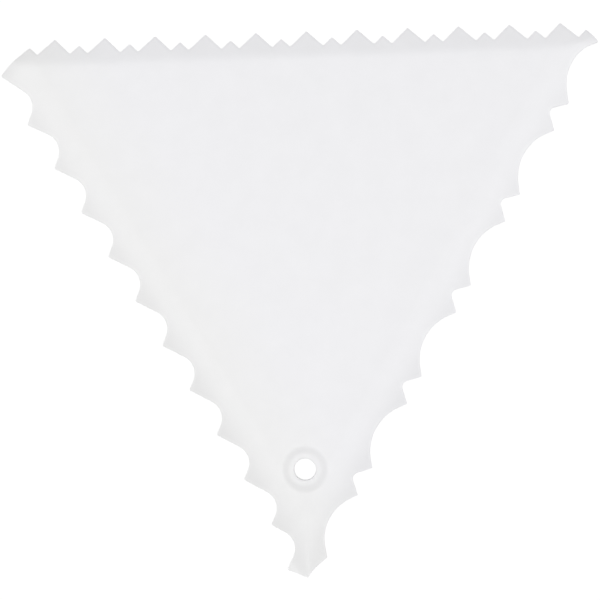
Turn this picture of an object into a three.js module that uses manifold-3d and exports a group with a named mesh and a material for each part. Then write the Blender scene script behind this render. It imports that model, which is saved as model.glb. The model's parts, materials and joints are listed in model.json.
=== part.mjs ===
// Three-sided cake comb, a single moulding of white plastic, shown by its five regions.
// A flat triangular panel bends back along each side into a sloping rim, and each rim is cut into
// its own row of teeth: a zigzag, a row of scallops and a wave of large and small hollows.
// A raised ring round a hang hole sits in the corner between the scallops and the wave.
// Millimetres, +Z up: the comb lies on its tooth tips with its front face up and the zigzag at +Y.
import * as THREE from 'three';
import { mergeVertices } from 'three/addons/utils/BufferGeometryUtils.js';
import Module from 'manifold-3d';

const wasm = await Module();
wasm.setup();

// Plan and section of the plate
const TIP_REACH = 39.35; // from the centre of the triangle to each line of tooth tips
const RIM_LAND = 3.35; // sloping band left between the deepest notch and the crease
const RIM_SLOPE = 31; // degrees that each rim leans back from the panel
const BEND_RADIUS = 7.5; // front face of the bend at the crease
const PANEL_WALL = 1.8; // plate thickness at the panel
const TOOTH_WALL = 1; // plate thickness at the tooth tips

// Zigzag row along the top side, its positions measured from the right-hand corner
const ZIGZAG_COUNT = 11; // large teeth, with a small one before, between and after them
const ZIGZAG_START = 5.85; // corner to the first small tooth
const ZIGZAG_END = 11.4; // last small tooth to the far corner
const LARGE_TOOTH_HEIGHT = 3.7;
const SMALL_TOOTH_HEIGHT = 2;
const ZIGZAG_ROUND = 0.28; // radius on the points and in the valleys
const ZIGZAG_START_FLANK = 51; // degrees, flank that runs from the first tooth to the corner
const ZIGZAG_END_FLANK = 44.5; // degrees, flank that runs from the last tooth to the corner

// Scallop row along the left side, its positions measured from the top corner
const SCALLOP_COUNT = 9; // equal hollows, between a wider one at the corner and one at the nose
const SCALLOP_START = 21.4; // corner to the first of the equal hollows
const SCALLOP_END = 15.2; // last of the equal hollows to the far corner
const SCALLOP_GENTLE_FLANK = 32.5; // degrees, the flank nearer the zigzag
const SCALLOP_STEEP_FLANK = 56; // degrees, the flank nearer the nose
const SCALLOP_ROOT = 3.75; // radius in the bottom of each hollow
const SCALLOP_TIP = 0.45; // radius on each point
const CORNER_SCALLOP_WIDTH = 13.15;
const CORNER_SCALLOP_FLANK = 24.7; // degrees, its long flank

// Nose at the bottom, where the scallops and the wave end in a blunt foot
const NOSE_BACK = 5.35; // heel of the nose, back from the corner of the tip lines
const NOSE_PROUD = 2.1; // heel of the nose, out beyond the line of scallop tips
const NOSE_FLANK = 39.7; // degrees, the end face of the nose
const NOSE_WALL = 0.6; // plate thickness at the heel
const TOE_BACK = 7.25; // toe of the nose, back from the corner of the tip lines
const TOE_PROUD = 0.55; // toe of the nose, out beyond the line of wave tips
const TOE_DEPTH = 1; // depth of the shallow hollow between toe and end face
const TOE_FLANK = 22; // degrees
const TOE_ROOT = 8; // radius in the shallow hollow

// Wave row along the right side, its positions measured from the nose
const WAVE_PAIRS = 5; // pairs of a small and a large hollow, after a large one at the nose
const WAVE_START = 21.85; // corner to the first pair
const WAVE_END = 5; // last pair to the far corner
const SMALL_HOLLOW_WIDTH = 6.45;
const SMALL_HOLLOW_FLANK = 46; // degrees
const SMALL_HOLLOW_ROOT = 1.25;
const LARGE_HOLLOW_FLANK = 38; // degrees
const LARGE_HOLLOW_ROOT = 9.9;
const WAVE_TIP = 0.3; // radius on each point

// Hang hole and its raised ring
const HOLE_RADIUS = 2.27;
const RING_RISE = 0.7; // above the front of the panel
const RING_LIP = 0.2; // radius on the edge of the hole
const RING_FLAT = 0.63; // level top of the ring
const RING_SHOULDER = 2.05; // width of the soft shoulder outside the level top
const RING_LAND = 0.3; // flat panel left between the ring and the creases

// Facets
const FACET_TOLERANCE = 0.02; // greatest distance of a facet from its arc
const RING_SEGMENTS = 48;
const LIP_SEGMENTS = 4;
const SHOULDER_SEGMENTS = 8;
const BEND_SEGMENTS = 6;
const TIP_SHARE = 0.1; // most of an edge that the rounding of a point may use
const ROOT_SHARE = 1 - 2 * TIP_SHARE; // the same for a hollow, which leaves as much again straight
const CUT_MARGIN = 2; // how far the rims run on past the outline that trims them

// Plastic
const WHITE = 0xf0f0f2;
const ROUGHNESS = 0.45;

// The three sides, each named by the direction that it faces in degrees
const TOP = 90;
const LEFT = 210;
const RIGHT = 330;
const MITRE = Math.sqrt(3); // half the length of a side for each unit of its reach
const SIDE = 2 * MITRE * TIP_REACH; // side of the triangle through the tooth tips

const radians = THREE.MathUtils.degToRad;

// A point beside one side: along it from its first corner, anticlockwise, and in from its tip line.
function beside(facing, along, depth) {
  const out = TIP_REACH - depth;
  const across = along - SIDE / 2;
  const c = Math.cos(radians(facing));
  const s = Math.sin(radians(facing));
  return new THREE.Vector2(out * c - across * s, out * s + across * c);
}

// Where the line through p at one heading crosses the line through q at another, in degrees.
function crossing(p, headingP, q, headingQ) {
  const d = new THREE.Vector2(Math.cos(radians(headingP)), Math.sin(radians(headingP)));
  const e = new THREE.Vector2(Math.cos(radians(headingQ)), Math.sin(radians(headingQ)));
  const gap = q.clone().sub(p);
  return p.clone().addScaledVector(d, gap.cross(e) / d.cross(e));
}

// Headings along a side: straight on, down into a hollow, and up out of it.
const onward = (facing) => facing + 90;
const inward = (facing, flank) => onward(facing) + flank;
const outward = (facing, flank) => onward(facing) - flank;

// The bottom of a hollow, where the flank down from one point meets the flank up to the next.
function root(facing, from, downFlank, to, upFlank, round) {
  return { at: crossing(from, inward(facing, downFlank), to, outward(facing, upFlank)), round };
}

function zigzagCorners() {
  const pitch = (SIDE - ZIGZAG_START - ZIGZAG_END) / ZIGZAG_COUNT;
  const low = LARGE_TOOTH_HEIGHT - SMALL_TOOTH_HEIGHT;
  const smallHalf = ((pitch / 2) * SMALL_TOOTH_HEIGHT) / (LARGE_TOOTH_HEIGHT + SMALL_TOOTH_HEIGHT);
  const corner = (along, depth) => ({ at: beside(TOP, along, depth), round: ZIGZAG_ROUND });
  const corners = [corner(ZIGZAG_START, low)];
  for (let i = 0; i < ZIGZAG_COUNT; i += 1) {
    const along = ZIGZAG_START + i * pitch;
    corners.push(corner(along + smallHalf, LARGE_TOOTH_HEIGHT));
    corners.push(corner(along + pitch / 2, 0));
    corners.push(corner(along + pitch - smallHalf, LARGE_TOOTH_HEIGHT));
    corners.push(corner(along + pitch, low));
  }
  return corners;
}

function scallopCorners(lastZigzag) {
  const pitch = (SIDE - SCALLOP_START - SCALLOP_END) / SCALLOP_COUNT;
  const point = (along, depth) => beside(LEFT, along, depth);
  const hollow = (from, downFlank, to) =>
    root(LEFT, from, downFlank, to, SCALLOP_STEEP_FLANK, SCALLOP_ROOT);

  const outer = point(SCALLOP_START - CORNER_SCALLOP_WIDTH, 0);
  const corner = crossing(
    lastZigzag, inward(TOP, ZIGZAG_END_FLANK),
    outer, inward(LEFT, CORNER_SCALLOP_FLANK),
  );
  const corners = [{ at: corner, round: SCALLOP_TIP }];
  corners.push(hollow(outer, CORNER_SCALLOP_FLANK, point(SCALLOP_START, 0)));
  for (let i = 0; i < SCALLOP_COUNT; i += 1) {
    const from = point(SCALLOP_START + i * pitch, 0);
    const to = point(SCALLOP_START + (i + 1) * pitch, 0);
    corners.push({ at: from, round: SCALLOP_TIP });
    corners.push(hollow(from, SCALLOP_GENTLE_FLANK, to));
  }
  const last = point(SIDE - SCALLOP_END, 0);
  const heel = point(SIDE - NOSE_BACK, -NOSE_PROUD);
  corners.push({ at: last, round: SCALLOP_TIP });
  corners.push(hollow(last, SCALLOP_GENTLE_FLANK, heel));
  corners.push({ at: heel, round: SCALLOP_TIP });
  return corners;
}

function waveCorners(heel, firstZigzag) {
  const point = (along, depth) => beside(RIGHT, along, depth);
  const tip = (at) => ({ at, round: WAVE_TIP });
  const large = (from, to) =>
    root(RIGHT, from, LARGE_HOLLOW_FLANK, to, LARGE_HOLLOW_FLANK, LARGE_HOLLOW_ROOT);
  const small = (from, to) =>
    root(RIGHT, from, SMALL_HOLLOW_FLANK, to, SMALL_HOLLOW_FLANK, SMALL_HOLLOW_ROOT);

  const toe = point(TOE_BACK, -TOE_PROUD);
  const floor = point(0, TOE_DEPTH);
  const end = crossing(heel, inward(LEFT, NOSE_FLANK), floor, onward(RIGHT));
  const bottom = crossing(floor, onward(RIGHT), toe, outward(RIGHT, TOE_FLANK));
  const corners = [tip(end), { at: bottom, round: TOE_ROOT }, tip(toe)];
  corners.push(large(toe, point(WAVE_START, 0)));

  const pitch = (SIDE - WAVE_START - WAVE_END) / WAVE_PAIRS;
  for (let i = 0; i < WAVE_PAIRS; i += 1) {
    const first = point(WAVE_START + i * pitch, 0);
    const middle = point(WAVE_START + i * pitch + SMALL_HOLLOW_WIDTH, 0);
    const last = point(WAVE_START + (i + 1) * pitch, 0);
    corners.push(tip(first), small(first, middle), tip(middle), large(middle, last));
  }
  const corner = crossing(
    firstZigzag, outward(TOP, ZIGZAG_START_FLANK),
    point(SIDE - WAVE_END, 0), outward(RIGHT, LARGE_HOLLOW_FLANK),
  );
  corners.push(tip(corner));
  return corners;
}

// Outline points: each corner becomes an arc tangent to the two edges that meet there.
function roundedOutline(corners) {
  const points = [];
  corners.forEach(({ at, round }, i) => {
    const before = corners.at(i - 1).at;
    const after = corners[(i + 1) % corners.length].at;
    const arriving = at.clone().sub(before);
    const leaving = after.clone().sub(at);
    const edge = Math.min(arriving.length(), leaving.length());
    arriving.normalize();
    leaving.normalize();
    const turn = Math.atan2(arriving.cross(leaving), arriving.dot(leaving));
    const half = Math.tan(Math.abs(turn) / 2);
    const share = turn > 0 ? TIP_SHARE : ROOT_SHARE;
    const radius = Math.min(round, (share * edge) / half);
    const start = at.clone().addScaledVector(arriving, -radius * half);
    const toCentre = new THREE.Vector2(-arriving.y, arriving.x).multiplyScalar(Math.sign(turn));
    const centre = start.clone().addScaledVector(toCentre, radius);
    const facet = 2 * Math.acos(Math.max(0, 1 - FACET_TOLERANCE / radius));
    const count = Math.ceil(Math.abs(turn) / facet);
    for (let j = 0; j <= count; j += 1) {
      points.push(start.clone().rotateAround(centre, (turn * j) / count));
    }
  });
  return points;
}

const zigzag = zigzagCorners();
const scallops = scallopCorners(zigzag.at(-1).at);
const wave = waveCorners(scallops.at(-1).at, zigzag[0].at);
const outline = roundedOutline([...zigzag, ...scallops, ...wave]);

// How far out a plan point lies, measured square to the side that it is nearest to.
function reachOf(point) {
  const reaches = [TOP, LEFT, RIGHT].map(
    (facing) => point.x * Math.cos(radians(facing)) + point.y * Math.sin(radians(facing)),
  );
  return Math.max(...reaches);
}

const CREASE_REACH = Math.min(...outline.map(reachOf)) - RIM_LAND;
const OUTER_REACH = Math.max(...outline.map(reachOf)) + CUT_MARGIN;

// A rim in section: the plate bends back at the crease, slopes down to the tooth tips and thins on
// the way. Past the line of the tips its back runs level, as the foot of the nose does on the table,
// and its front slopes on until the foot is as thin as the heel.
const BEND_ANGLE = radians(RIM_SLOPE);
const BEND_LENGTH = BEND_RADIUS * BEND_ANGLE;
const BEND_OUT = BEND_RADIUS * Math.sin(BEND_ANGLE);
const BEND_DROP = BEND_RADIUS * (1 - Math.cos(BEND_ANGLE));
const SLOPE_OUT = TIP_REACH - CREASE_REACH - BEND_OUT;
const RIM_LENGTH = BEND_LENGTH + SLOPE_OUT / Math.cos(BEND_ANGLE);
const TIP_HEIGHT = -BEND_DROP - SLOPE_OUT * Math.tan(BEND_ANGLE); // front of the tips
const REST_HEIGHT = TIP_HEIGHT - TOOTH_WALL / Math.cos(BEND_ANGLE); // back of the tips, on the table

function rimSection() {
  const front = [];
  const back = [];
  for (let i = 0; i <= BEND_SEGMENTS; i += 1) {
    const lean = (BEND_ANGLE * i) / BEND_SEGMENTS;
    const normal = new THREE.Vector2(Math.sin(lean), Math.cos(lean));
    const wall = THREE.MathUtils.lerp(PANEL_WALL, TOOTH_WALL, (BEND_RADIUS * lean) / RIM_LENGTH);
    const centre = new THREE.Vector2(CREASE_REACH, -BEND_RADIUS);
    front.push(centre.clone().addScaledVector(normal, BEND_RADIUS));
    back.push(centre.clone().addScaledVector(normal, BEND_RADIUS - wall));
  }
  const heelHeight = REST_HEIGHT + NOSE_WALL;
  front.push(new THREE.Vector2(TIP_REACH, TIP_HEIGHT));
  front.push(new THREE.Vector2(TIP_REACH + NOSE_PROUD, heelHeight));
  front.push(new THREE.Vector2(OUTER_REACH, heelHeight));
  back.push(new THREE.Vector2(TIP_REACH, REST_HEIGHT), new THREE.Vector2(OUTER_REACH, REST_HEIGHT));
  return new THREE.Shape([...front, ...back.reverse()]);
}

function solidOf(geometry) {
  geometry.deleteAttribute('normal');
  geometry.deleteAttribute('uv');
  const welded = mergeVertices(geometry);
  return new wasm.Manifold(new wasm.Mesh({
    numProp: 3,
    vertProperties: Float32Array.from(welded.getAttribute('position').array),
    triVerts: Uint32Array.from(welded.getIndex().array),
  }));
}

function geometryOf(solid) {
  const { vertProperties, triVerts } = solid.getMesh();
  const geometry = new THREE.BufferGeometry();
  geometry.setAttribute('position', new THREE.BufferAttribute(vertProperties, 3));
  geometry.setIndex(new THREE.BufferAttribute(triVerts, 1));
  geometry.computeVertexNormals();
  return geometry;
}

// A rim before its teeth are cut: the section carried along one side and mitred at both corners.
function mitredRim(facing) {
  const geometry = new THREE.ExtrudeGeometry(rimSection(), { depth: 1, bevelEnabled: false });
  const position = geometry.getAttribute('position');
  const c = Math.cos(radians(facing));
  const s = Math.sin(radians(facing));
  for (let i = 0; i < position.count; i += 1) {
    const out = position.getX(i);
    const across = (1 - 2 * position.getZ(i)) * MITRE * out;
    position.setXYZ(i, out * c - across * s, out * s + across * c, position.getY(i));
  }
  return solidOf(geometry);
}

// The toothed outline as a straight-sided block, taller than the rims that it trims.
function outlineBlock() {
  const geometry = new THREE.ExtrudeGeometry(new THREE.Shape(outline), {
    depth: 2 * CUT_MARGIN - REST_HEIGHT,
    bevelEnabled: false,
  });
  geometry.translate(0, 0, REST_HEIGHT - CUT_MARGIN);
  return solidOf(geometry);
}

// The ring sits in the panel's lower corner, at the same distance from both creases.
const RING_RADIUS = HOLE_RADIUS + RING_LIP + RING_FLAT + RING_SHOULDER;
const RING_Y = -2 * (CREASE_REACH - RING_LAND - RING_RADIUS);

function panelGeometry() {
  const shape = new THREE.Shape([TOP, LEFT, RIGHT].map((facing) => {
    const corner = radians(facing + 60);
    return new THREE.Vector2(Math.cos(corner), Math.sin(corner)).multiplyScalar(2 * CREASE_REACH);
  }));
  const hole = [];
  for (let i = 0; i < RING_SEGMENTS; i += 1) {
    const angle = (2 * Math.PI * i) / RING_SEGMENTS;
    hole.push(new THREE.Vector2(RING_RADIUS * Math.sin(angle), RING_Y - RING_RADIUS * Math.cos(angle)));
  }
  shape.holes.push(new THREE.Path(hole));
  const geometry = new THREE.ExtrudeGeometry(shape, { depth: PANEL_WALL, bevelEnabled: false });
  geometry.translate(0, 0, -PANEL_WALL);
  return geometryOf(solidOf(geometry));
}

// The ring's section: up its outside to the front of the panel, up a shoulder shaped like half a
// wave, across its level top, round the lip and down the hole, right through the plate.
function ringGeometry() {
  const profile = [new THREE.Vector2(RING_RADIUS, -PANEL_WALL)];
  for (let i = 0; i <= SHOULDER_SEGMENTS; i += 1) {
    const share = i / SHOULDER_SEGMENTS;
    const up = (RING_RISE * (1 - Math.cos(Math.PI * share))) / 2;
    profile.push(new THREE.Vector2(RING_RADIUS - RING_SHOULDER * share, up));
  }
  for (let i = 0; i <= LIP_SEGMENTS; i += 1) {
    const angle = (Math.PI / 2) * (i / LIP_SEGMENTS);
    const out = HOLE_RADIUS + RING_LIP * (1 - Math.sin(angle));
    profile.push(new THREE.Vector2(out, RING_RISE - RING_LIP * (1 - Math.cos(angle))));
  }
  profile.push(new THREE.Vector2(HOLE_RADIUS, -PANEL_WALL), profile[0].clone());
  const geometry = new THREE.LatheGeometry(profile, RING_SEGMENTS);
  geometry.rotateX(Math.PI / 2);
  geometry.translate(0, RING_Y, 0);
  return geometryOf(solidOf(geometry));
}

function region(name, geometry) {
  const plastic = new THREE.MeshStandardMaterial({
    color: WHITE,
    roughness: ROUGHNESS,
    metalness: 0,
  });
  const mesh = new THREE.Mesh(geometry, plastic);
  mesh.name = name;
  return mesh;
}

const block = outlineBlock();
const toothedRim = (facing) => geometryOf(mitredRim(facing).intersect(block));

const comb = new THREE.Group();
comb.name = 'cake_comb';
comb.add(region('panel', panelGeometry()));
comb.add(region('zigzag_edge', toothedRim(TOP)));
comb.add(region('scallop_edge', toothedRim(LEFT)));
comb.add(region('wave_edge', toothedRim(RIGHT)));
comb.add(region('hang_boss', ringGeometry()));

// The origin is in the middle of the comb's box, on the plane that it rests on.
const box = new THREE.Box3().setFromObject(comb);
const middle = box.getCenter(new THREE.Vector3());
comb.position.set(-middle.x, -middle.y, -box.min.z);

export default comb;
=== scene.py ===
import json

import bpy
import numpy as np
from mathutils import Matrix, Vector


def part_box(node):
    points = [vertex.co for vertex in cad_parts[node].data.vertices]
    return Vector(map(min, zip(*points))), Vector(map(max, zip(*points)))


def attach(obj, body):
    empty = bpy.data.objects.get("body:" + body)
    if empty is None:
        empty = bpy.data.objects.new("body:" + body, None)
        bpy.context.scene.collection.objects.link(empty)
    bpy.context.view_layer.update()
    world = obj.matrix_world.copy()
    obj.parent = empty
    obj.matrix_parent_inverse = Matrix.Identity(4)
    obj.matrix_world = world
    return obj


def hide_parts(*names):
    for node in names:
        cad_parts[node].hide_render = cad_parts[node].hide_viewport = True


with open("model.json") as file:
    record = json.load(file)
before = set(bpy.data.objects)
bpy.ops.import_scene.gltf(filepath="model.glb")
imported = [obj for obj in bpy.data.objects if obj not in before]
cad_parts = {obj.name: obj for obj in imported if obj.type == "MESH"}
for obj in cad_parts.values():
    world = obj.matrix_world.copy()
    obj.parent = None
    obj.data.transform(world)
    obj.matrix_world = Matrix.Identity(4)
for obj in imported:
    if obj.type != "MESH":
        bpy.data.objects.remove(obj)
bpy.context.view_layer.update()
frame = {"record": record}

# Panel
# The flat triangular middle of the comb, the thickest part of one injection moulding in white plastic.
# It ends at the three creases, where the rims bend back, and at the foot of the ring round its hole.
# Sizes are in millimetres from the middle of the panel's front face, with the front face at height 0.
MM_PER_M = 1000.0
TOP, LEFT, RIGHT = range(3)  # the zigzag, scallop and wave sides
FACINGS = np.radians([90.0, 210.0, 330.0])  # directions that they face
OUTWARD = np.stack([np.cos(FACINGS), np.sin(FACINGS)], axis=1)
ONWARD = np.stack([-np.sin(FACINGS), np.cos(FACINGS)], axis=1)  # along each side, anticlockwise
MITRE = np.sqrt(3.0)  # half the length of a side for each unit of its reach from the middle
BEND_INSET = 1.0  # from the edges of the CAD panel in to the creases, where the bends start
RING_STATIONS = 180  # directions in which the panel and the ring are worked out
SHARP_ANGLE = np.radians(40.0)  # edges that turn by more than this stay sharp in the shading

mounts = {mount["name"]: mount for mount in frame["record"]["mounts"]}
panel_middle = np.array(mounts["panel_front"]["pos_m"])


def node_box(node):
    """Lowest and highest corners of a CAD node, in millimetres from the middle of the panel's front."""
    return (np.array(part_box(node)) - panel_middle) * MM_PER_M


panel_low, panel_high = node_box("panel")
ring_low, ring_high = node_box("hang_boss")
crease_reach = panel_high[1] - BEND_INSET
panel_wall = -panel_low[2]
ring_radius = (ring_high[0] - ring_low[0]) / 2
ring_centre = (ring_low[:2] + ring_high[:2]) / 2


def moulding(name, grid, edge, node, tone=0.0, capped=False):
    """A closed section carried along a path: grid[i, j] is point j of the section at station i.

    Stations run anticlockwise and each section runs out over the front, round the edge and back
    underneath, so every face is (i, j), (i, j + 1), (i + 1, j + 1), (i + 1, j). The path closes on
    itself, or ends in two flat caps. edge[i, j] is how close a point is to a worked edge, from 0 to 1,
    and tone is the painted light at that edge, painted shade where it is below 0.
    """
    stations, points = grid.shape[:2]
    index = np.arange(stations * points).reshape(stations, points)
    across = np.roll(index, -1, axis=1)
    along = np.roll(index, -1, axis=0)
    corner = np.roll(across, -1, axis=0)
    quads = np.stack([index, across, corner, along], axis=-1)
    faces = (quads[:-1] if capped else quads).reshape(-1, 4).tolist()
    if capped:
        faces += [index[0, ::-1].tolist(), index[-1].tolist()]
    mesh = bpy.data.meshes.new(name)
    mesh.from_pydata((grid.reshape(-1, 3) / MM_PER_M + panel_middle).tolist(), [], faces)
    mesh.shade_smooth()
    mesh.set_sharp_from_angle(angle=SHARP_ANGLE)
    # The second attribute is the painted light and shade at the worked edges.
    for label, values in (("worked_edge", edge), ("edge_light_and_shade", edge * tone)):
        attribute = mesh.attributes.new(label, "FLOAT", "POINT")
        attribute.data.foreach_set("value", values.astype(np.float32).ravel())
    mesh.materials.append(white_plastic)
    piece = bpy.data.objects.new(name, mesh)
    bpy.context.scene.collection.objects.link(piece)
    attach(piece, "root")
    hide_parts(node)


class Shade:
    """A value, colour or vector in a material. Arithmetic on a value adds the Math nodes for it."""

    def __init__(self, tree, socket=None):
        self.tree = tree
        self.socket = socket

    def node(self, kind, settings, inputs, output=0):
        """Adds a node of this kind, sets its settings, fills or links its inputs, gives an output."""
        made = self.tree.nodes.new(kind)
        for name, setting in settings.items():
            setattr(made, name, setting)
        for key, value in inputs.items():
            if isinstance(value, Shade):
                self.tree.links.new(value.socket, made.inputs[key])
            else:
                made.inputs[key].default_value = value
        return None if output is None else Shade(self.tree, made.outputs[output])

    def math(self, operation, first, second):
        return self.node("ShaderNodeMath", {"operation": operation}, {0: first, 1: second})

    def __add__(self, other):
        return self.math("ADD", self, other)

    def __radd__(self, other):
        return self.math("ADD", other, self)

    def __sub__(self, other):
        return self.math("SUBTRACT", self, other)

    def __rsub__(self, other):
        return self.math("SUBTRACT", other, self)

    def __mul__(self, other):
        return self.math("MULTIPLY", self, other)

    def __rmul__(self, other):
        return self.math("MULTIPLY", other, self)

    def noise(self, size, detail=2.0, roughness=0.5):
        """Fractal noise at these coordinates, from 0 to 1, with features about size millimetres wide."""
        inputs = {"Vector": self, "Scale": MM_PER_M / size, "Detail": detail, "Roughness": roughness}
        return self.node("ShaderNodeTexNoise", {}, inputs)

    def ramp(self, start, end):
        """From 0 to 1 as this value goes from start to end, and level beyond them."""
        return self.node("ShaderNodeMapRange", {}, {0: self, 1: start, 2: end})

    def blend(self, factor, first, second):
        """The colour between first and second."""
        return self.node("ShaderNodeMix", {"data_type": "RGBA"}, {0: factor, 6: first, 7: second}, 2)


# White plastic with a soft satin surface: a cool white with a faint mottle, clouded at random with a
# neutral one. Painted light turns it neutral along the scallop side, where warmer light falls from
# the left, and painted shade lays a faint grey band inside the scallop and wave creases. The mould
# leaves ripples and a fine grain that break its gloss.
PLASTIC_IOR = 1.5
# Along the scallop side the neutral white is painted light, standing in for warmer light from the left.
NEUTRAL_WHITE = (0.872, 0.871, 0.872, 1.0)
COOL_WHITE = (0.872, 0.871, 0.8895, 1.0)
DRIFT_WIDTH = 15.0  # from the crease of the scallop side to the cool white
CLOUD_SPREAD = 0.5
CREASE_SHADE_WIDTH = 7.0  # painted shade: a grey band inside the scallop and wave creases
CREASE_SHADE_MIDDLE = 1.0  # where it is greyest
CREASE_SHADE_TONE = 0.0085
MOTTLE_SPREAD = 0.05
SATIN = 0.45  # roughness
SATIN_SPREAD = 0.10
EDGE_POLISH = 0.06  # how much smoother the worked edges are
CLOUD_SIZE = 45.0
MOTTLE_SIZE = 5.0
MOTTLE_DETAIL = 3.0
MOTTLE_ROUGHNESS = 0.55
RIPPLE_SIZE = 1.6
GRAIN_SIZE = 0.22
RIPPLE_HEIGHT = 0.0000055  # metres
GRAIN_HEIGHT = 0.0000012


def satin_plastic():
    """Builds the white plastic of the whole moulding."""
    material = bpy.data.materials.new("white_plastic")
    material.use_nodes = True
    tree = material.node_tree
    tree.nodes.clear()
    root = Shade(tree)
    place = root.node("ShaderNodeTexCoord", {}, {}, "Object")
    worn = root.node("ShaderNodeAttribute", {"attribute_name": "worked_edge"}, {}, "Fac")
    tone = root.node("ShaderNodeAttribute", {"attribute_name": "edge_light_and_shade"}, {}, "Fac")
    cloud = place.noise(CLOUD_SIZE)
    mottle = place.noise(MOTTLE_SIZE, MOTTLE_DETAIL, MOTTLE_ROUGHNESS)
    ripple = place.noise(RIPPLE_SIZE)
    grain = place.noise(GRAIN_SIZE)

    def inside(side):
        """Millimetres in from the crease of a side."""
        out = (*OUTWARD[side], 0.0)
        dot = {"operation": "DOT_PRODUCT"}
        reach = root.node("ShaderNodeVectorMath", dot, {0: place, 1: out}, "Value")
        return crease_reach + MM_PER_M * (panel_middle @ out) - reach * MM_PER_M

    ways = [inside(LEFT), inside(RIGHT)]
    # Painted light: neutral white along the scallop side for the warmer light from the left, clouded at
    # random over the rest.
    lit_tint_and_cloud = ways[0].ramp(0.0, DRIFT_WIDTH) + (cloud - 0.5) * CLOUD_SPREAD
    white = root.blend(lit_tint_and_cloud, NEUTRAL_WHITE, COOL_WHITE)
    # Painted shade: a grey band just inside the scallop and wave creases.
    crease_shade = sum(way.ramp(0.0, CREASE_SHADE_MIDDLE) - way.ramp(CREASE_SHADE_MIDDLE, CREASE_SHADE_WIDTH) for way in ways)
    # tone is painted shade along the zigzag's edge and painted light along the edges of the other two
    # rims.
    shade = 1 + (mottle - 0.5) * MOTTLE_SPREAD + tone - crease_shade * CREASE_SHADE_TONE
    colour = root.node("ShaderNodeVectorMath", {"operation": "SCALE"}, {0: white, "Scale": shade})
    gloss = SATIN + (mottle - 0.5) * SATIN_SPREAD + (grain - 0.5) * SATIN_SPREAD - worn * EDGE_POLISH
    ripples = {"Strength": 1.0, "Distance": RIPPLE_HEIGHT, "Height": ripple}
    rippled = root.node("ShaderNodeBump", {}, ripples)
    grains = {"Strength": 1.0, "Distance": GRAIN_HEIGHT, "Height": grain, "Normal": rippled}
    grained = root.node("ShaderNodeBump", {}, grains)
    surface = {"Base Color": colour, "Roughness": gloss, "Normal": grained, "IOR": PLASTIC_IOR}
    plastic = root.node("ShaderNodeBsdfPrincipled", {}, surface)
    root.node("ShaderNodeOutputMaterial", {}, {"Surface": plastic}, None)
    return material


white_plastic = satin_plastic()
corner_facings = FACINGS + np.pi / 3
corner_ways = np.stack([np.cos(corner_facings), np.sin(corner_facings)], axis=1)
to_corners = corner_ways * 2 * crease_reach - ring_centre
corner_turns = np.arctan2(to_corners[:, 1], to_corners[:, 0])
even_turns = (np.arange(RING_STATIONS) + 0.5) * 2 * np.pi / RING_STATIONS - np.pi
ring_turns = np.sort(np.concatenate([even_turns, corner_turns]))
rays = np.stack([np.cos(ring_turns), np.sin(ring_turns)], axis=1)


def panel_grid():
    """The flat plate: out along each ray from the foot of the ring to the nearest crease, and back.

    A ray meets a crease after the crease's distance from the ring, divided by how squarely it faces it.
    """
    square = rays @ OUTWARD.T
    distance = crease_reach - OUTWARD @ ring_centre
    span = np.where(square > 0, distance / np.where(square > 0, square, 1.0), np.inf).min(axis=1)
    foot = ring_centre + rays * ring_radius
    crease = ring_centre + rays * span[:, None]
    plan = np.stack([foot, crease, crease, foot], axis=1)
    height = np.broadcast_to([0.0, 0.0, -panel_wall, -panel_wall], plan.shape[:2])
    return np.concatenate([plan, height[..., None]], axis=2)


panel = panel_grid()
moulding("flat_panel", panel, np.zeros(panel.shape[:2]), "panel")

# Zigzag rim
# The top side of the moulding, bent back from the panel, thinned towards its edge and cut into a row
# of sharp teeth, large and small in turn. Its edges are left slightly round by the mould.
TIP_REACH = 39.35  # from the middle of the panel to each line of tooth tips
TOOTH_WALL = 1.0
TOOTH_DEPTH = 1.17  # thickness at the tips, measured straight down
NOSE_WALL = 0.6  # thickness that the foot beyond the tips thins to
# Ways out from the crease and the lean there in degrees, for the zigzag rim and for the other two
FLAT_LEAN = ((0.0, 1.0, 1.2, 3.2, 8.0, 8.5), (0.0, 0.0, 1.2, 24.0, 27.0, 15.0))
ROUND_LEAN = ((0.0, 1.0, 1.6, 6.3, 7.9, 8.4), (0.0, 3.5, 8.0, 30.0, 28.0, 15.0))
DROP_PLACES = (-1.0, -0.5, 0.0, 0.5, 1.0)  # from the first corner of a side to its last
DROP_SHARES = (  # of the full drop, at those places along the zigzag, scallop and wave sides
    (1.0, 1.0, 1.0, 1.0, 1.0),
    (0.56, 0.68, 0.85, 1.0, 0.88),
    (0.88, 0.87, 0.68, 0.60, 0.52),
)
CURL_FACINGS = np.radians([52.0, 128.0])  # directions that the first and last teeth curl down in
CURL_WIDTH = 3.6
CURL_DEPTH = 0.7
FOOT_WIDTH = 3.0  # band beyond the tips
FOOT_TAPER = 1.0  # part of it over which the wall grows to the depth at the tips
HIP_SOFTNESS = 0.12  # how fast the rounding of a corner ridge widens
LEAST_WAY = 1e-9  # least way out, which keeps that rounding wider than nothing
FAN_INSET = 1.2  # from the crease to the line where the stations start to fan out
FAN_SPREAD = 0.8  # length at each end of that line over which it rises into the corner
CORNER_SHARES = ((0.85, 0.7), (0.7, 0.5), (0.5, 0.85))  # how far it rises, of the way to the outline
EDGE_INSET = 0.015  # keeps the round teeth inside the box of the faceted ones
EDGE_ROUND = 0.13
BACK_ROUND = 0.06
DRAFT = 0.12  # how far the wall of the edge leans in, from front to back
LAP = 0.05  # overlap onto the next piece, so that no gap shows where they meet
LAP_RISE = 0.0005  # least that an overlap lies off the skin below it
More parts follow.
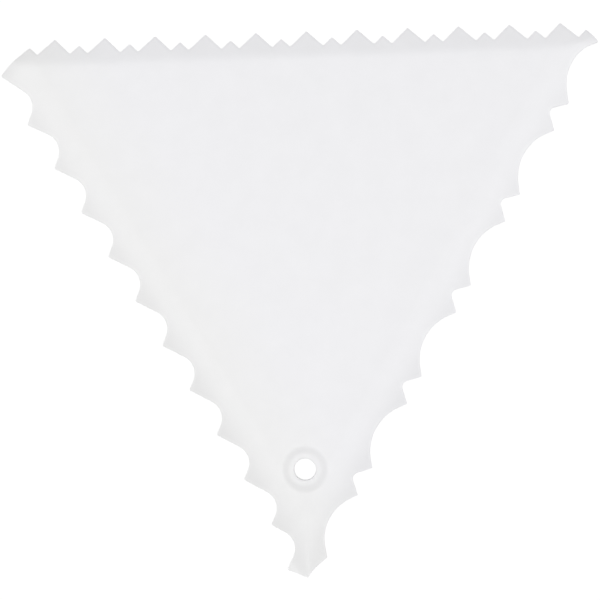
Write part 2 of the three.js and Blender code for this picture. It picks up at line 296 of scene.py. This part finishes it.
# The bands are worked smoother, and carry painted shade on the zigzag's edge and painted light on the
# other two.
EDGE_WIDTHS = (1.1, 0.7, 0.7)  # worked bands along the teeth of the zigzag, scallop and wave sides
EDGE_LIGHT_AND_SHADE = (-0.032, 0.04, 0.04)  # painted light at those edges, painted shade where below 0
SECTION_STEPS = 200  # in the sum that gives a rim's drop
STRIP_STEPS = 5  # from the crease to the fan line
LAND_STEPS = 16  # from there to the edge
ROUND_STEPS = 5  # round each corner of the edge
WALL_STEPS = 3  # down the wall of the edge
END_POINTS = 20  # stations between the last point of a row and the mitre
TIP_SHARE = 0.1  # most of an edge that the rounding of a point may use
ROOT_SHARE = 1 - 2 * TIP_SHARE
ZIGZAG_COUNT = 11
ZIGZAG_START = 5.85
ZIGZAG_END = 11.4
LARGE_TOOTH_HEIGHT = 3.7
SMALL_TOOTH_HEIGHT = 2.0
ZIGZAG_ROUND = 0.28
ZIGZAG_START_FLANK = 51.0
ZIGZAG_END_FLANK = 44.5

SIDE = 2 * MITRE * TIP_REACH
rest_drop = -node_box("scallop_edge")[0][2]
tip_drop = rest_drop - TOOTH_DEPTH
foot_drop = rest_drop - NOSE_WALL
rim_width = TIP_REACH - crease_reach
fan_reach = crease_reach + FAN_INSET


def beside(side, along, depth):
    """Plan points along a side from its first corner, anticlockwise, and depth in from its tip line."""
    across = np.multiply.outer(np.asarray(along) - SIDE / 2, ONWARD[side])
    return np.multiply.outer(TIP_REACH - np.asarray(depth), OUTWARD[side]) + across


def crossing(first, first_heading, second, second_heading):
    """Where the line through one point at a heading in degrees crosses the line through another."""
    d = np.array([np.cos(np.radians(first_heading)), np.sin(np.radians(first_heading))])
    e = np.array([np.cos(np.radians(second_heading)), np.sin(np.radians(second_heading))])
    gap = second - first
    return first + d * (gap[0] * e[1] - gap[1] * e[0]) / (d[0] * e[1] - d[1] * e[0])


def heading(side, flank):
    """Heading along a side in degrees, turned into the comb by flank, or out of it by less than 0."""
    return np.degrees(FACINGS[side]) + 90.0 + flank


def on_mitre(point, point_heading, side):
    """Where a line crosses the mitre at the end of a side, 60 degrees on from the direction it faces."""
    return crossing(point, point_heading, np.zeros(2), np.degrees(FACINGS[side]) + 60.0)


def zigzag_corners():
    """Small and large teeth in turn, at equal pitch, with flanks of one slope to one row of valleys."""
    pitch = (SIDE - ZIGZAG_START - ZIGZAG_END) / ZIGZAG_COUNT
    low = LARGE_TOOTH_HEIGHT - SMALL_TOOTH_HEIGHT
    half = pitch / 2 * SMALL_TOOTH_HEIGHT / (LARGE_TOOTH_HEIGHT + SMALL_TOOTH_HEIGHT)
    tooth = ZIGZAG_START + pitch * np.arange(ZIGZAG_COUNT)[:, None]
    along = np.append(ZIGZAG_START, tooth + [half, pitch / 2, pitch - half, pitch])
    depth = np.append(low, np.tile([LARGE_TOOTH_HEIGHT, 0.0, LARGE_TOOTH_HEIGHT, low], ZIGZAG_COUNT))
    return beside(TOP, along, depth)


zigzag = zigzag_corners()


def rounded_path(corners, radii, arc_points, edge_points):
    """Stations along a row of teeth and their outward normals.

    Each inner corner becomes an arc tangent to its two edges, of its own radius or as large as its
    share of the shorter edge allows. Straight stretches join the arcs. The first and last stretches
    run to the mitres, with their stations packed closer there by the square of the way along.
    """
    step = np.diff(corners, axis=0)
    length = np.linalg.norm(step, axis=1)
    course = np.arctan2(step[:, 1], step[:, 0])
    turn = (np.diff(course) + np.pi) % (2 * np.pi) - np.pi
    bend = np.tan(np.abs(turn) / 2)
    share = np.where(turn > 0, TIP_SHARE, ROOT_SHARE)
    shared = np.concatenate([[np.inf], length[1:-1], [np.inf]])
    radius = np.minimum(radii, share * np.minimum(shared[:-1], shared[1:]) / bend)
    side = np.sign(turn) * radius
    course_there = course[:-1, None] + turn[:, None] * np.linspace(0.0, 1.0, arc_points)
    right = np.stack([np.sin(course_there), -np.cos(course_there)], axis=-1)
    start = corners[1:-1] - (radius * bend / length[:-1])[:, None] * step[:-1]
    centre = start - side[:, None] * right[:, 0]
    arcs = centre[:, None] + side[:, None, None] * right
    between = np.linspace(0.0, 1.0, edge_points + 2)[1:-1, None]
    straights = arcs[:-1, -1:] + (arcs[1:, :1] - arcs[:-1, -1:]) * between
    straight_right = np.broadcast_to(right[:-1, -1:], straights.shape)
    packed = np.linspace(0.0, 1.0, END_POINTS, endpoint=False)[:, None] ** 2
    first = corners[0] + (arcs[0, 0] - corners[0]) * packed
    last = corners[-1] + (arcs[-1, -1] - corners[-1]) * packed[::-1]
    path = [first, np.concatenate([arcs[:-1], straights], axis=1).reshape(-1, 2), arcs[-1], last]
    normal = [
        np.broadcast_to(right[0, 0], first.shape),
        np.concatenate([right[:-1], straight_right], axis=1).reshape(-1, 2),
        right[-1],
        np.broadcast_to(right[-1, -1], last.shape),
    ]
    path, normal = np.concatenate(path), np.concatenate(normal)
    return path - normal * EDGE_INSET, normal


def rim_section(out, lean):
    """Reach and drop of a rim's front and back, from its lean at some distances out from the crease.

    The front's drop is the tangent of the lean, summed over the way out and scaled to tip_drop at the
    tips. The back lies under it by a wall that thins evenly to the teeth, down to a level foot.
    """
    way = np.linspace(0.0, rim_width + FOOT_WIDTH, SECTION_STEPS + 1)
    steep = np.tan(np.radians(np.interp(way, out, lean)))
    fall = np.append(0.0, np.cumsum((steep[1:] + steep[:-1]) / 2 * np.diff(way)))
    scale = tip_drop / np.interp(rim_width, way, fall)
    front = fall * scale
    slope = np.arctan(steep * scale)
    places = [0.0, rim_width, rim_width + FOOT_TAPER]
    wall = np.interp(way, places, [panel_wall, TOOTH_WALL, TOOTH_DEPTH])
    back = np.minimum(front + wall * np.cos(slope), rest_drop)
    reach = crease_reach + way
    return (reach, front), (reach - wall * np.sin(slope), back)


sections = [rim_section(*lean) for lean in (FLAT_LEAN, ROUND_LEAN, ROUND_LEAN)]


def drop(plan, face):
    """How far the front (face 0) or the back (face 1) lies below the panel's front, over any plan point.

    It is the largest of the three sides' drops, each with its share of the full drop there. Near a
    corner ridge, where the two largest differ by less than a spread that widens with the way out from
    the crease, a square law rounds the ridge. Both ends of the zigzag curl down, by the square of the
    way into a band along the first or the last point.
    """
    reach = plan @ OUTWARD.T
    along = plan @ ONWARD.T
    place = along / (SIDE / 2)
    shares = [np.interp(place[..., side], DROP_PLACES, DROP_SHARES[side]) for side in range(3)]
    full = [np.interp(reach[..., side], *sections[side][face]) for side in range(3)]
    wall = (0.0, panel_wall)[face]
    each = wall + (np.stack(full, axis=-1) - wall) * np.stack(shares, axis=-1)
    second, first = np.moveaxis(np.sort(each, axis=-1)[..., 1:], -1, 0)
    ridge_reach = np.sort(reach, axis=-1)[..., 1:].mean(axis=-1)
    out = np.maximum(ridge_reach - crease_reach, LEAST_WAY)
    spread = HIP_SOFTNESS * out
    rounding = np.maximum(spread - (first - second), 0.0) ** 2 / (4 * spread)
    curl_out = np.stack([np.cos(CURL_FACINGS), np.sin(CURL_FACINGS)], axis=1)
    inside = (zigzag[[0, -1]] * curl_out).sum(axis=1) - plan @ curl_out.T
    curl = CURL_DEPTH * (np.clip(1 - inside / CURL_WIDTH, 0.0, 1.0) ** 2).sum(axis=-1)
    return np.minimum(first + rounding + curl, (foot_drop, rest_drop)[face])


def rim_grid(side, path, normal):
    """A toothed rim, station by station: from the crease out over the front, round the edge and back.

    A station runs from its share of the crease to its share of a fan line, and from there straight to
    its point on the teeth. The fan line is level with the side and rises at both ends along the mitres.
    The rim laps onto the panel along the crease and onto the next rim at its first end. It lies off
    their skins by a lift that falls evenly along it, so that the two laps at a corner lie apart too.
    """
    out, onward = OUTWARD[side], ONWARD[side]
    along = path @ onward
    ends = np.array([-1.0, 1.0])
    mitre_reach = (path[[0, -1]] @ out + ends * MITRE * along[[0, -1]]) / (1 + MITRE**2)
    rise = crease_reach + (mitre_reach - crease_reach) * CORNER_SHARES[side]
    straight = ends * (MITRE * fan_reach - FAN_SPREAD)

    def line(low, middle, high):
        """Values at the stations, in straight runs from one end to the middle two to the other end."""
        return np.interp(along, [along[0], *straight, along[-1]], [low, *middle, high])

    fan_out = line(rise[0], [fan_reach, fan_reach], rise[1])
    fan_along = line(-MITRE * rise[0], straight, MITRE * rise[1])
    crease_along = line(-MITRE * crease_reach, straight * crease_reach / fan_reach, MITRE * crease_reach)
    crease = (crease_reach * out + np.multiply.outer(crease_along, onward))[:, None]
    base = (np.multiply.outer(fan_out, out) + np.multiply.outer(fan_along, onward))[:, None]
    lap = crease * (1 - LAP / crease_reach)
    strip = crease + (base - crease) * np.linspace(0.0, 1.0, STRIP_STEPS + 1)[:, None]
    grown = np.linspace(0.0, 1.0, LAND_STEPS + 1)[1:, None]
    turn = np.linspace(0.0, np.pi / 2, ROUND_STEPS + 1)[1:]
    start = path[0] - path[1]
    end_lap = start * LAP / np.linalg.norm(start) + normal[0] * LAP_RISE

    def face(which, round_off, lean_in):
        """The front (which 0) or the back (which 1), with a quarter round along its outline.

        The outline lies inside the path by lean_in. The lift is away from the middle of the wall.
        """
        outline = path - normal * lean_in
        lip = outline - normal * round_off
        land = base + (lip[:, None] - base) * grown
        edge = outline[:, None] - normal[:, None] * (round_off * (1 - np.sin(turn)))[:, None]
        plan = np.concatenate([lap, strip, land, edge], axis=1)
        way_in = np.linalg.norm(path[:, None] - plan, axis=2)
        # The worked band sets both the smoother gloss and the painted edge light and shade.
        worn = np.clip(1 - way_in / EDGE_WIDTHS[side], 0.0, 1.0)
        plan = np.concatenate([plan[:1] + end_lap, plan])
        worn = np.concatenate([worn[:1], worn])
        lift = LAP_RISE * np.linspace(2.0, 1.0, len(plan))[:, None] * np.ones(plan.shape[1])
        lift[:, -len(turn):] -= round_off * (1 - np.cos(turn))
        height = -drop(plan, which) + lift * (1 - 2 * which)
        return np.concatenate([plan, height[..., None]], axis=2), worn

    front, front_worn = face(0, EDGE_ROUND, 0.0)
    back, back_worn = face(1, BACK_ROUND, DRAFT)
    between = np.linspace(0.0, 1.0, WALL_STEPS + 1)[1:-1, None]
    wall = front[:, -1:] + (back[:, -1:] - front[:, -1:]) * between
    grid = np.concatenate([front, wall, back[:, ::-1]], axis=1)
    worn = np.concatenate([front_worn, np.ones(wall.shape[:2]), back_worn[:, ::-1]], axis=1)
    return grid, worn


right_mitre = on_mitre(zigzag[0], heading(TOP, -ZIGZAG_START_FLANK), RIGHT)
left_mitre = on_mitre(zigzag[-1], heading(TOP, ZIGZAG_END_FLANK), TOP)
zigzag_row = np.vstack([right_mitre, zigzag, left_mitre])
zigzag_path = rounded_path(zigzag_row, ZIGZAG_ROUND, arc_points=9, edge_points=4)
moulding("zigzag_rim", *rim_grid(TOP, *zigzag_path), "zigzag_edge", EDGE_LIGHT_AND_SHADE[TOP], capped=True)

# Scallop rim
# The left side, cut into a row of equal hollows with a gentle and a steep flank each, between a wider
# hollow at the top corner and the heel of the blunt nose at the bottom.
SCALLOP_COUNT = 9
SCALLOP_START = 21.4
SCALLOP_END = 15.2
SCALLOP_GENTLE_FLANK = 32.5
SCALLOP_STEEP_FLANK = 56.0
SCALLOP_ROOT = 3.75
SCALLOP_TIP = 0.45
CORNER_SCALLOP_WIDTH = 13.15
CORNER_SCALLOP_FLANK = 24.7
NOSE_BACK = 5.35
NOSE_PROUD = 2.1
NOSE_FLANK = 39.7
NOSE_CUT = 0.85  # share of the end face that goes with the scallops
TOE_DEPTH = 1.0


def roots(side, tips, next_tips, down_flank, up_flank):
    """Bottoms of the hollows between two rows of points: where each flank down meets the flank up."""
    return np.array([
        crossing(tip, heading(side, down_flank), next_tip, heading(side, -up_flank))
        for tip, next_tip in zip(tips, next_tips)
    ])


def scallop_corners():
    """The corner point, the wide corner hollow, the equal hollows, each after a point, and the heel."""
    pitch = (SIDE - SCALLOP_START - SCALLOP_END) / SCALLOP_COUNT
    starts = SCALLOP_START + pitch * np.arange(SCALLOP_COUNT + 1)
    tips = beside(LEFT, starts, np.zeros(SCALLOP_COUNT + 1))
    heel = beside(LEFT, SIDE - NOSE_BACK, -NOSE_PROUD)
    outer = beside(LEFT, SCALLOP_START - CORNER_SCALLOP_WIDTH, 0.0)
    corner = crossing(
        zigzag[-1], heading(TOP, ZIGZAG_END_FLANK), outer, heading(LEFT, CORNER_SCALLOP_FLANK)
    )
    wide = crossing(
        outer, heading(LEFT, CORNER_SCALLOP_FLANK), tips[0], heading(LEFT, -SCALLOP_STEEP_FLANK)
    )
    after = np.vstack([tips[1:], heel])
    hollows = roots(LEFT, tips, after, SCALLOP_GENTLE_FLANK, SCALLOP_STEEP_FLANK)
    row = np.stack([tips, hollows], axis=1).reshape(-1, 2)
    return np.vstack([corner, wide, row, heel])


scallops = scallop_corners()
toe_floor = beside(RIGHT, 0.0, TOE_DEPTH)
nose_end = crossing(scallops[-1], heading(LEFT, NOSE_FLANK), toe_floor, heading(RIGHT, 0.0))
nose_cut = scallops[-1] + (nose_end - scallops[-1]) * NOSE_CUT
scallop_round = np.append(np.tile([SCALLOP_TIP, SCALLOP_ROOT], SCALLOP_COUNT + 2), SCALLOP_TIP)
scallop_row = np.vstack([left_mitre, scallops, nose_cut])
scallop_path = rounded_path(scallop_row, scallop_round, arc_points=17, edge_points=6)
moulding("scallop_rim", *rim_grid(LEFT, *scallop_path), "scallop_edge", EDGE_LIGHT_AND_SHADE[LEFT], capped=True)

# Wave rim
# The right side, cut into large round hollows with a small one between each two, from the toe of the
# nose at the bottom to the sharp corner beside the zigzag.
TOE_BACK = 7.25
TOE_PROUD = 0.55
TOE_FLANK = 22.0
TOE_ROOT = 8.0
WAVE_PAIRS = 5
WAVE_START = 21.85
WAVE_END = 5.0
SMALL_HOLLOW_WIDTH = 6.45
SMALL_HOLLOW_FLANK = 46.0
SMALL_HOLLOW_ROOT = 1.25
LARGE_HOLLOW_FLANK = 38.0
LARGE_HOLLOW_ROOT = 9.9
WAVE_TIP = 0.3


def wave_corners():
    """The end and toe of the nose, a large hollow, small and large ones in turn, and the corner."""
    pitch = (SIDE - WAVE_START - WAVE_END) / WAVE_PAIRS
    toe = beside(RIGHT, TOE_BACK, -TOE_PROUD)
    bottom = crossing(toe_floor, heading(RIGHT, 0.0), toe, heading(RIGHT, -TOE_FLANK))
    starts = WAVE_START + pitch * np.arange(WAVE_PAIRS + 1)
    firsts = beside(RIGHT, starts, np.zeros(WAVE_PAIRS + 1))
    middles = beside(RIGHT, starts[:-1] + SMALL_HOLLOW_WIDTH, np.zeros(WAVE_PAIRS))
    small = roots(RIGHT, firsts[:-1], middles, SMALL_HOLLOW_FLANK, SMALL_HOLLOW_FLANK)
    large = roots(RIGHT, np.vstack([toe, middles]), firsts, LARGE_HOLLOW_FLANK, LARGE_HOLLOW_FLANK)
    row = np.stack([firsts[:-1], small, middles, large[1:]], axis=1).reshape(-1, 2)
    corner = crossing(
        zigzag[0], heading(TOP, -ZIGZAG_START_FLANK), firsts[-1], heading(RIGHT, -LARGE_HOLLOW_FLANK)
    )
    return np.vstack([nose_end, bottom, toe, large[0], row, corner])


wave = wave_corners()
nose_round = [WAVE_TIP, TOE_ROOT, WAVE_TIP, LARGE_HOLLOW_ROOT]
pair_round = np.tile([WAVE_TIP, SMALL_HOLLOW_ROOT, WAVE_TIP, LARGE_HOLLOW_ROOT], WAVE_PAIRS)
wave_round = np.concatenate([nose_round, pair_round, [WAVE_TIP]])
wave_row = np.vstack([nose_cut, wave, right_mitre])
wave_path = rounded_path(wave_row, wave_round, arc_points=17, edge_points=6)
moulding("wave_rim", *rim_grid(RIGHT, *wave_path), "wave_edge", EDGE_LIGHT_AND_SHADE[RIGHT], capped=True)

# Ring
# A low raised ring round the hang hole, moulded on the panel, with a rounded lip and a soft shoulder
# that runs out into the panel. The hole goes right through.
HOLE_RADIUS = 2.27
RING_LIP = 0.2
RING_SHOULDER = 2.05
RING_FOOT = 0.09  # level skirt round the shoulder
HOLE_BACK_ROUND = 0.06
LIP_STEPS = 8
SHOULDER_STEPS = 16


def ring_section():
    """Distance from the hole's axis and height: lip, level top, shoulder, underside and the hole's wall.

    The lip and the back of the hole are quarter rounds, and the shoulder is half a cosine wave. Its foot
    laps onto the panel.
    """
    rise = ring_high[2]
    turn = np.linspace(0.0, np.pi / 2, LIP_STEPS + 1)
    wave_turn = np.linspace(0.0, np.pi, SHOULDER_STEPS + 1)
    lip_out = HOLE_RADIUS + RING_LIP * (1 - np.cos(turn))
    lip_up = rise - RING_LIP * (1 - np.sin(turn))
    shoulder_out = ring_radius - RING_FOOT - RING_SHOULDER * (1 - wave_turn / np.pi)
    shoulder_up = LAP_RISE + (rise - LAP_RISE) * (1 + np.cos(wave_turn)) / 2
    back_out = HOLE_RADIUS + HOLE_BACK_ROUND * (1 - np.sin(turn))
    back_up = -panel_wall + HOLE_BACK_ROUND * (1 - np.cos(turn))
    lap_up = [LAP_RISE, -LAP_RISE - panel_wall, -LAP_RISE - panel_wall]
    lap_out = [ring_radius + LAP, ring_radius + LAP, ring_radius]
    out = np.concatenate([lip_out, shoulder_out, lap_out, back_out])
    up = np.concatenate([lip_up, shoulder_up, lap_up, back_up])
    return out, up


ring_out, ring_up = ring_section()
ring_plan = ring_centre + rays[:, None] * ring_out[:, None]
ring_height = np.broadcast_to(ring_up, ring_plan.shape[:2])
ring = np.concatenate([ring_plan, ring_height[..., None]], axis=2)
moulding("hang_ring", ring, np.zeros(ring.shape[:2]), "hang_boss")

# Floor
# A plain white table that the comb lies on. It shows white to the camera and in reflections, and part
# of it is lit as paper is, so the comb's shadow falls on it. From here on, sizes are in metres.
FLOOR_SIZE = 4.0
FLOOR_GAP = 0.00002
FLOOR_SHADE = 0.12  # share that is lit as paper is
FLOOR_GLOW = 0.7  # share that glows for light that bounces
GLOW_STRENGTH = 1.06
PAPER_WHITE = (0.9, 0.9, 0.9, 1.0)
PLAIN_WHITE = (1.0, 1.0, 1.0, 1.0)
LOOKING_RAYS = ("Is Camera Ray", "Is Glossy Ray", "Is Transmission Ray")

bpy.ops.mesh.primitive_plane_add(size=FLOOR_SIZE, location=(0.0, 0.0, -FLOOR_GAP))
floor = bpy.context.object
floor.name = "floor"


def table_white():
    """White paper, part diffuse and part plain white, and more of that for rays that only look at it."""
    material = bpy.data.materials.new("table_white")
    material.use_nodes = True
    tree = material.node_tree
    tree.nodes.clear()
    root = Shade(tree)
    rays_that_look = [root.node("ShaderNodeLightPath", {}, {}, name) for name in LOOKING_RAYS]
    looking = FLOOR_GLOW + sum(rays_that_look) * (1 - FLOOR_SHADE - FLOOR_GLOW)
    paper = root.node("ShaderNodeBsdfDiffuse", {}, {"Color": PAPER_WHITE})
    plain = root.node("ShaderNodeEmission", {}, {"Color": PLAIN_WHITE, "Strength": GLOW_STRENGTH})
    mixed = root.node("ShaderNodeMixShader", {}, {0: looking, 1: paper, 2: plain})
    root.node("ShaderNodeOutputMaterial", {}, {"Surface": mixed}, None)
    return material


floor.data.materials.append(table_white())

# Light
# A white room for soft light from all round, and two large softboxes to the left and right.
ROOM_LIGHT = 0.30
SOFTBOX_POWER = 15.62  # watts
SOFTBOX_LENGTH = 1.5  # along Y
SOFTBOX_WIDTH = 1.3
SOFTBOX_PLACES = ((-0.8, -0.045, 1.8), (0.8, -0.045, 1.8))

world = bpy.data.worlds.new("white_room")
world.use_nodes = True
world.node_tree.nodes.clear()
room = Shade(world.node_tree)
room_rays = [room.node("ShaderNodeLightPath", {}, {}, name) for name in LOOKING_RAYS]
room_strength = ROOM_LIGHT + sum(room_rays) * (1 - ROOM_LIGHT)
sky = room.node("ShaderNodeBackground", {}, {"Color": PLAIN_WHITE, "Strength": room_strength})
room.node("ShaderNodeOutputWorld", {}, {"Surface": sky}, None)
bpy.context.scene.world = world


def softbox(name, place):
    """A long area light at a place in metres, aimed at the comb."""
    lamp = bpy.data.lights.new(name, "AREA")
    lamp.shape = "RECTANGLE"
    lamp.size = SOFTBOX_LENGTH
    lamp.size_y = SOFTBOX_WIDTH
    lamp.energy = SOFTBOX_POWER
    holder = bpy.data.objects.new(name, lamp)
    holder.location = place
    holder.rotation_euler = (-holder.location).to_track_quat("-Z", "Y").to_euler()
    holder.visible_camera = False
    bpy.context.scene.collection.objects.link(holder)


softbox("softbox_left", SOFTBOX_PLACES[0])
softbox("softbox_right", SOFTBOX_PLACES[1])

# Camera
# It looks down on the comb from a little to the right of and below its middle, almost square on.
CAMERA_PLACE = (0.00643, -0.01224, 0.30384)
CAMERA_TURN = (2.369, 1.486, -1.576)  # degrees
CAMERA_LENS = 85.6

camera = bpy.data.objects.new("camera", bpy.data.cameras.new("camera"))
camera.data.lens = CAMERA_LENS
camera.location = CAMERA_PLACE
camera.rotation_euler = np.radians(CAMERA_TURN)
bpy.context.scene.collection.objects.link(camera)
bpy.context.scene.camera = camera

bpy.context.scene.view_settings.view_transform = "Standard"
